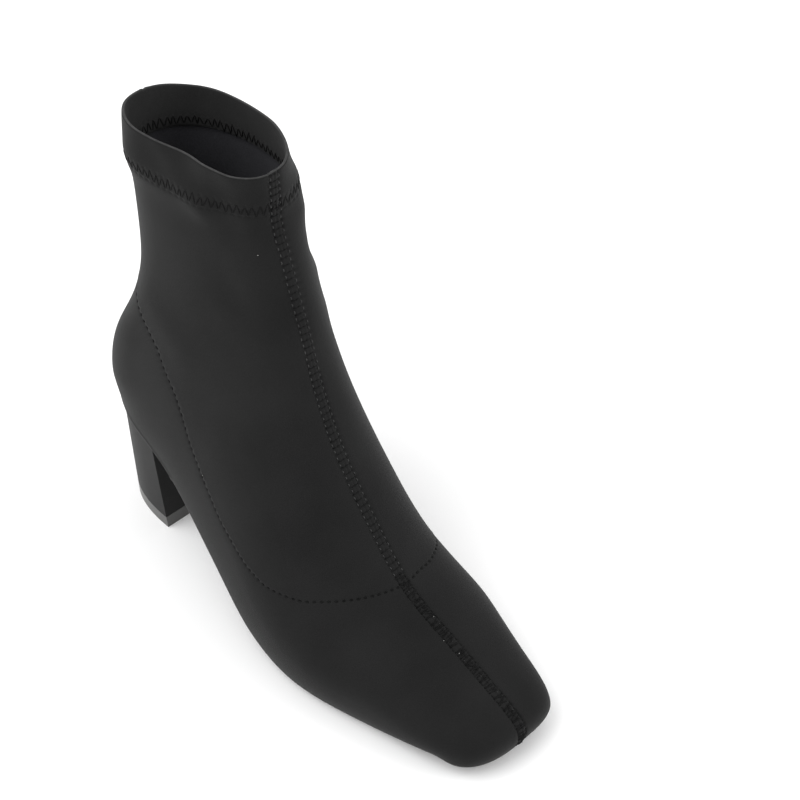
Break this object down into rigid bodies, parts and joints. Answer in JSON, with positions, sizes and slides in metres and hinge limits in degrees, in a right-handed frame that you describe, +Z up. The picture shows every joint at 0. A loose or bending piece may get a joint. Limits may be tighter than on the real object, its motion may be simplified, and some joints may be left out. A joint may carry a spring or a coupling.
{
  "type": "sock boot",
  "caption": "Ankle-high stretch-fabric sock boot for the right foot, with a square toe, a folded hem at the collar and a covered block heel.",
  "frame": {"origin": "middle of the heel lift's face on the floor", "axes": "+Z up from the floor, -Y toward the toe, +X toward the medial side of the right foot"},
  "size_m": [0.0902, 0.2465, 0.2212],
  "materials": {
    "stretch_fabric": "matt near-black stretch knit",
    "sole_rubber": "fine matt rubber",
    "insole_lining": "matt black lining",
    "heel_cover": "matt near-black covering",
    "lift_rubber": "satin rubber"
  },
  "bodies": {
    "root": {"upper": "stretch_fabric", "outsole": "sole_rubber", "insole": "insole_lining", "heel_block": "heel_cover", "heel_toplift": "lift_rubber"}
  },
  "joints": []
}
